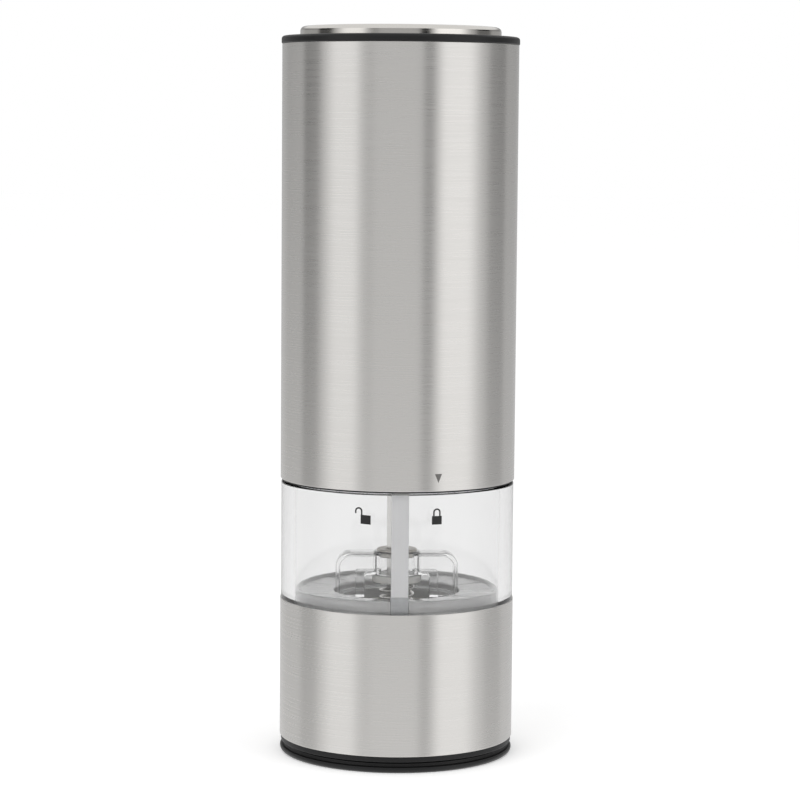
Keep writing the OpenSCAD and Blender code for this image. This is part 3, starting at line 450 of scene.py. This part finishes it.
turned_part("button_cap", "button_chrome", [
    (26.1, 192.1), (27.6, 192.1, 0.2), (27.6, 200.9, 1.3), (0, 200.9), (0, 199.4),
    (26.1, 199.4, 0.8)], 8, 256)


# ---------------------------------------------------------------- spice chamber

LUG_HALF, LUG_DEPTH = 8, 0.9            # degrees to each side of a diagonal, and mm
LUG_LOW, LUG_HIGH = 78.4501, 80.45      # its heights; the outline leaves the neck just outside
EDGE = 0.001                            # degrees in which a lug's flank rises


def chamber_tube():
    """The tube's outline turned round the axis, where the two rows of the lug stand out by its
    depth at the angles near a diagonal, and lie on the neck elsewhere."""
    outline = rounded([
        (27.6, 12.5, 0.2), (31.8, 12.5, 0.2), (31.8, 43.2), (CHAMBER_R, 43.2, 0.1),
        (CHAMBER_R, 75.7, 0.3), (29.8, 75.7, 0.2), (29.8, 78.45), (29.8, LUG_LOW),
        (29.8, LUG_HIGH), (29.8, 80.4501), (29.8, 83.2, 0.3), (28.5, 83.2, 0.3), (28.5, 42.7),
        (27.6, 42.7, 0.1)])
    r, z = outline[:, 0, None], outline[:, 1, None]
    flanks = [-LUG_HALF - EDGE, -LUG_HALF, LUG_HALF, LUG_HALF + EDGE]
    edges = np.radians(45 + 90 * np.arange(4))[:, None] + np.radians(flanks)
    a = np.sort(np.concatenate([np.arange(192) / 192 * TAU, edges.ravel()]))
    from_diagonal = np.abs(np.degrees(a) % 90 - 45)
    lug = LUG_DEPTH * (from_diagonal <= LUG_HALF + EDGE / 2) * np.isin(z, (LUG_LOW, LUG_HIGH))
    return surface("look_spice_chamber", round_axis(a, r + lug, z))


fit(chamber_tube(), "clear_acrylic", "spice_chamber")

RIPPLE = 0.09                           # mm, how high the first of the dish's waves stands
WAVES = (1.0, 11, 0.6), (0.8, 17, 2.1), (0.6, 29, 4.0)      # share of it, number round, start
RIPPLE_IN, RIPPLE_GROWS = 17.6, 2       # from this radius they grow over so many mm
RIPPLE_OUT, RIPPLE_FADES = 27.2, 1.5    # and up to this one they fade
FLOOR_FROM = 45                         # only the points above this height are the floor's
EAR_CIRCLE, EAR_R, EAR_BORE_R = 21, 3, 1.5


def dish():
    """The dish's outline turned round the axis. Its floor falls to the opening and carries shallow
    radial ripples: height + RIPPLE times a sum of sines of the angle, fading at both edges."""
    outline = rounded([
        (18.6, 26.5, 0.2), (18.6, 42.7, 0.6), (28.4, 42.7), (28.4, 46.5, 0.35), (27.5, 46.5, 0.5),
        (26.5, 45.72), (25, 45.66), (23, 45.58), (21, 45.5), (19, 45.42), (17.4, 45.35, 0.5),
        (17.4, 43.5, 0.1), (15.0, 43.5, 0.1), (15.0, 40.5), (16.6, 40.5), (16.6, 26.5, 0.1)])
    a = np.arange(288) / 288 * TAU
    r, z = outline[:, 0, None], outline[:, 1, None]
    grows = np.clip((r - RIPPLE_IN) / RIPPLE_GROWS, 0, 1)
    floor = grows * np.clip((RIPPLE_OUT - r) / RIPPLE_FADES, 0, 1) * (z > FLOOR_FROM)
    z = z + RIPPLE * floor * sum(high * np.sin(count * a + start) for high, count, start in WAVES)
    piece = surface("look_mill_housing", round_axis(a, r, z))
    ears = EAR_CIRCLE * np.array([(math.cos(t), math.sin(t)) for t in np.radians((90, 210, 330))])
    combine(piece, [disc("ear", EAR_R, 26.5, 43.1, ear) for ear in ears], "UNION")
    cuts = [disc("bore", EAR_BORE_R, 25.5, 33.5, ear) for ear in ears]
    cuts.append(box("boot_notch", (-2.45, -32, 41.7), (2.45, -25.01, 48)))
    return combine(piece, cuts, "DIFFERENCE")


# The dish keeps its slot's name, and wears the milky finish of its mould
mill_dish = fit(dish(), "clear_styrene", "mill_housing")
mill_dish.data.materials[0] = LOOKS["frosted_styrene"]

ARCH_DEPTH, WEB_DEPTH = 6, 1.2
SEAT_Z = 43.5                           # the arches stand on the dish's ledge


def bridge():
    """One moulding: the outer arch, the web in it, the inner arch and the hub on top, with the
    bush's bore and the room for the spring's seat cut out."""
    outer = between("look_shaft_bridge", arch(16.95, 12.4, 3.8), arch(15.85, 11.3, 3.2),
                    ARCH_DEPTH, SEAT_Z, 0.35)
    web = between("web", arch(16.4, 11.85, 3.5), arch(10.2, 6.6, 0.8), WEB_DEPTH, SEAT_Z)
    inner = between("inner_arch", arch(11.5, 7.1, 0.8), arch(9.0, 6.1, 0.8), ARCH_DEPTH, SEAT_Z,
                    0.3)
    hub = turned("hub", rounded([(0, 49.8), (6.6, 49.8, 0.3), (6.6, 56.2, 0.6), (0, 56.2)]), 96)
    combine(outer, [web, inner, hub], "UNION")
    cuts = [disc("bush_bore", 5.0, 49, 58), disc("seat_room", 7.15, 43, 49.8, turns=96)]
    return combine(outer, cuts, "DIFFERENCE", 40)


fit(bridge(), "clear_styrene", "shaft_bridge")
turned_part("hub_bush", "sintered_bronze", [
    (2.95, 54.6, 0.1), (4.9, 54.6, 0.2), (4.9, 56.2), (5.6, 56.2, 0.1), (5.6, 56.8, 0.25),
    (2.95, 56.8, 0.3)], turns=96)
turned_part("spring_seat", "white_acetal", [
    (2.95, 47.5), (6.85, 47.5, 0.4), (6.85, 49.5, 0.4), (2.95, 49.5, 0.2)], turns=96)
dress("drive_shaft", "drawn_steel", 0.2)


def strip():
    """The milky strip: its section with rounded front corners, carried up from the boot, and the
    flat duct for its wires below."""
    front, back, half = -25.71, -28.31, 2.25
    section = rounded([(-half, back, 0.2), (half, back, 0.2), (half, front, 0.5),
                       (-half, front, 0.5)], 4)
    rows = [np.column_stack([section, np.full(len(section), z)]) for z in (47.6, 50, 60, 70, 75.4)]
    duct = box("duct", (-1.8, -27.3, 21.7), (1.8, -25.72, 48.5))
    return combine(capped("look_light_strip", np.array(rows)), [duct], "UNION")


fit(strip(), "milky_polycarbonate", "light_strip")
dress("strip_boot", "grey_rubber", 0.35)
dress("strip_contact", "nickel_plate", 0.12)

mill_spring = coil("look_mill_spring", 4.55, 40.05, 46.95, 3.5, 0.9)
wear(mill_spring, "spring_steel")
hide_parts("mill_spring")
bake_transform(mill_spring)

button_spring = coil("look_button_spring", 6.4, 188.8, 197.1, 4.5, 0.8)
wear(button_spring, "spring_steel")
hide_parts("button_spring")
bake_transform(button_spring)


# ---------------------------------------------------------------- mill, drive, power and switch

for node, slot, edge in (
        ("stator_burr", "white_ceramic", 0.1), ("rotor_burr", "white_ceramic", 0.1),
        ("stator_holder", "black_nylon", 0.25), ("rotor_core", "black_nylon", 0.15),
        ("adjust_knob", "black_nylon", 0.2), ("holder_screws", "screw_steel", 0.3),
        ("led_board", "green_board", 0.05), ("led_lamp", "lamp_epoxy", 0.0),
        ("bayonet_lid", "black_abs", 0.2), ("chamber_seal", "silicone", 0.3),
        ("lid_screws", "screw_steel", 0.3), ("contact_pins", "contact_brass", 0.15),
        ("motor_housing", "black_abs", 0.25), ("gearbox", "white_acetal", 0.2),
        ("motor_can", "drawn_steel", 0.3), ("motor_endcap", "black_nylon", 0.2),
        ("battery_holder", "black_abs", 0.2), ("holder_cap", "black_abs", 0.2),
        ("housing_screws", "screw_steel", 0.3), ("battery_springs", "spring_steel", 0.0),
        ("contact_plates", "nickel_plate", 0.08), ("switch_board", "green_board", 0.05),
        ("push_switch", "black_nylon", 0.15), ("switch_plunger", "white_acetal", 0.15),
        ("output_coupling", "white_acetal", 0.2), ("button_guide", "black_abs", 0.2),
        ("button_carrier", "black_nylon", 0.2), ("battery_cell_1", "cell_wrap", 0.1),
        ("battery_cell_2", "cell_wrap", 0.1), ("battery_cell_3", "cell_wrap", 0.1),
        ("battery_cell_4", "cell_wrap", 0.1)):
    dress(node, slot, edge)

# A ring in the lid's black finish, brought out flush into the lock line between the chamber and the
# upper sleeve: partly the lid's dark edge as it shows there, partly painted shade that stands for
# the shadow in that gap
lid_and_gap_shade = turned("look_lid_and_gap_shade", rounded([
    (30.3, 76.15), (32.0, 76.15, 0.1), (32.0, 76.55), (31.3, 76.95), (30.3, 76.95)], 3))
wear(lid_and_gap_shade, "black_abs")
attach(lid_and_gap_shade, "top_frame")


# ---------------------------------------------------------------- printed signs

CLOSED_AT, OPEN_AT, TRIANGLE_AT = 17.6, -16.8, 18.1     # degrees round from the front
SHACKLE_R, STROKE = 0.85, 0.42


def shackle(centre, left_foot, right_foot, steps=24):
    """Half a circle over the centre (u, v), as two lines half a stroke to each side of it, with
    straight feet down to the given heights."""
    a, made = np.radians(np.linspace(180, 0, steps + 1)), []
    for r in (SHACKLE_R + STROKE / 2, SHACKLE_R - STROKE / 2):
        arc = np.stack([centre[0] + r * np.cos(a), centre[1] + r * np.sin(a)], 1)
        made.append(np.concatenate([[[arc[0, 0], left_foot]], arc, [[arc[-1, 0], right_foot]]]))
    return made


def quad(left_top, left_low, right_top, right_low):
    """The left and the right side of a shape with four corners (u, v)."""
    return np.array([left_top, left_low], float), np.array([right_top, right_low], float)


dark_ink = printing_ink("black_pad_print", "#1C1C1C")
grey_ink = printing_ink("grey_etched_mark", "#6A6866")
for name, ink, body, sides, radius, azimuth in (
        ("mark_triangle", grey_ink, "sleeve",
         quad((-1.0, 81.35), (0, 78.95), (1.0, 81.35), (0, 78.95)), CASE_R, TRIANGLE_AT),
        ("mark_closed_body", dark_ink, "mill_body",
         quad((-1.4, 70.0), (-1.4, 67.7), (1.4, 70.0), (1.4, 67.7)), CHAMBER_R, CLOSED_AT),
        ("mark_closed_shackle", dark_ink, "mill_body",
         shackle((0, 71.0), 69.9, 69.9), CHAMBER_R, CLOSED_AT),
        ("mark_open_body", dark_ink, "mill_body",
         quad((-1.4, 70.25), (-1.4, 67.8), (1.4, 70.1), (1.4, 67.65)), CHAMBER_R, OPEN_AT),
        ("mark_open_shackle", dark_ink, "mill_body",
         shackle((-1.95, 71.2), 70.6, 70.1), CHAMBER_R, OPEN_AT)):
    mark = printed(name, *sides, radius, azimuth)
    mark.data.materials.append(ink)
    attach(mark, body)


# ---------------------------------------------------------------- studio

FLOOR_RINGS = 0, 200, 1000, 6000        # mm
FLOOR_Z = -0.02
FLOOR_LIFT = 0.23                       # light the floor gives to the camera alone


def studio_floor():
    """A flat disc, its rings spaced so that it reaches far behind the object."""
    a, r = np.arange(96) / 96 * TAU, np.array(FLOOR_RINGS, float)[:, None]
    floor = surface("floor", round_axis(a, r, FLOOR_Z + 0 * r), rows_meet=False)
    made, tree, shader = plain("floor_paper", "#F4F4F4", ior=1.4, roughness=0.8,
                               specular_ior_level=0.0, emission_color=WHITE)
    lift = add(tree, "Math", {"operation": "MULTIPLY"}, {1: FLOOR_LIFT},
               {0: add(tree, "LightPath").outputs["Is Camera Ray"]})
    tree.links.new(lift.outputs["Value"], shader.inputs["Emission Strength"])
    floor.data.materials.append(made)
    floor.visible_glossy = False


# The studio as the metal sees it: soft boxes and dark flags on an even ground. Each begins, is
# full, starts to fade and ends at a number of degrees round from the camera to the right, and adds
# its last number to the light
AROUND = {
    "left wall": (-152, -142, -110, -100, -0.05),
    "left flag": (-113, -104, -91, -81, -0.26),
    "left box": (-85, -65, -48, -36, 0.42),
    "left gap": (-38, -32, -29, -25, -0.08),
    "lens flag": (18, 24, 29, 34, -0.31),
    "right box": (32, 43, 66, 90, 0.53),
    "right flag": (88, 100, 118, 127, -0.21),
    "right wall": (118, 128, 150, 165, -0.05),
}
# The ground is brighter below, off the pale table, and the boxes and flags stand out more higher
# up. Heights are those on a sphere of radius 1: two of them, then the value at each
GROUND = -0.6, 0.22, 0.865, 0.185
REACH = -0.333, 0.2, 0.0, 1.6
CEILING, CEILING_FROM, CEILING_FULL = "#D0D0D0", 0.15, 0.35
METAL_LIGHT, EVEN_LIGHT = 1.3, 0.85     # strengths to metal and to diffuse surfaces


def around(tree, turn):
    """The sum of each light's amount, where the angle turn lies within the light."""
    total = None
    for begin, full, fade, end, amount in AROUND.values():
        rise, fall = (ramp(tree, turn, math.radians(low), math.radians(high), way="SMOOTHSTEP")
                      for low, high in ((begin, full), (end, fade)))
        both = add(tree, "Math", {"operation": "MULTIPLY"}, links={0: rise, 1: fall})
        more = add(tree, "Math", {"operation": "MULTIPLY_ADD"}, {1: amount, 2: 0.0},
                   {0: both.outputs[0]})
        if total is not None:
            tree.links.new(total, more.inputs[2])
        total = more.outputs[0]
    return total


def studio_world():
    """White to the camera and through the clear plastic, even grey to diffuse surfaces, and a ring
    of soft boxes and dark gaps to the metal."""
    world = bpy.data.worlds.new("studio")
    bpy.context.scene.world = world
    world.use_nodes = True
    tree = world.node_tree
    tree.nodes.clear()
    way = add(tree, "SeparateXYZ", links={"Vector": add(tree, "TexCoord").outputs["Generated"]})
    height = way.outputs["Z"]
    front = add(tree, "Math", {"operation": "MULTIPLY"}, {1: -1.0}, {0: way.outputs["Y"]})
    turn = add(tree, "Math", {"operation": "ARCTAN2"},
               links={0: way.outputs["X"], 1: front.outputs["Value"]})
    light = add(tree, "Math", {"operation": "MULTIPLY_ADD"},
                links={0: around(tree, turn.outputs[0]), 1: ramp(tree, height, *REACH),
                       2: ramp(tree, height, *GROUND)}).outputs[0]
    above = ramp(tree, height, CEILING_FROM, CEILING_FULL, way="SMOOTHSTEP")
    metal = add(tree, "Background", values={"Strength": METAL_LIGHT},
                links={"Color": blended(tree, above, light, linear(CEILING))})
    even = add(tree, "Background", values={"Color": WHITE, "Strength": EVEN_LIGHT})
    white = add(tree, "Background", values={"Color": WHITE, "Strength": 1.0})
    path = add(tree, "LightPath").outputs
    lit = add(tree, "MixShader",
              links={"Fac": path["Is Glossy Ray"], 1: even.outputs[0], 2: metal.outputs[0]})
    clear = add(tree, "Math", {"operation": "MAXIMUM"},
                links={0: path["Is Camera Ray"], 1: path["Is Transmission Ray"]})
    seen = add(tree, "MixShader",
               links={"Fac": clear.outputs["Value"], 1: lit.outputs[0], 2: white.outputs[0]})
    add(tree, "OutputWorld", links={"Surface": seen.outputs[0]})


MIDDLE = 0, 0, 0.1                      # of the object, in metres


def soft_lamp(name, size, power, azimuth, height, distance):
    """A square soft box at an azimuth and height in degrees, turned to the object's middle."""
    lamp = bpy.data.lights.new(name, "AREA")
    lamp.size, lamp.energy = size, power
    held = bpy.data.objects.new(name, lamp)
    a, e = math.radians(azimuth), math.radians(height)
    back = np.array([math.sin(a) * math.cos(e), -math.cos(a) * math.cos(e), math.sin(e)])
    held.location = back * distance + MIDDLE
    held.rotation_euler = (math.pi / 2 - e, 0, a)
    held.visible_glossy = held.visible_camera = held.visible_transmission = False
    bpy.context.scene.collection.objects.link(held)


studio_floor()
studio_world()
soft_lamp("left_box", 0.8, 3.0, -40, 35, 1.1)
soft_lamp("right_box", 0.8, 2.0, 55, 30, 1.2)

# The camera as fitted to the photograph: its place in metres, its angles in degrees, its lens in mm
CAMERA_PLACE = 0.00054, -0.7761, 0.1748
CAMERA_ROUND, CAMERA_DOWN, CAMERA_ROLL = -1.7, 5.64, 0.459
LENS, SENSOR = 126.3, 36

lens = bpy.data.cameras.new("camera")
lens.lens, lens.sensor_width = LENS, SENSOR
lens.clip_start, lens.clip_end = 0.01, 50
camera = bpy.data.objects.new("camera", lens)
bpy.context.scene.collection.objects.link(camera)
bpy.context.scene.camera = camera
camera.matrix_world = (Matrix.Rotation(math.radians(CAMERA_ROUND), 4, "Z")
                       @ Matrix.Translation(CAMERA_PLACE)
                       @ Matrix.Rotation(math.radians(90 - CAMERA_DOWN), 4, "X")
                       @ Matrix.Rotation(math.radians(CAMERA_ROLL), 4, "Z"))

bpy.context.scene.view_settings.view_transform = "Standard"
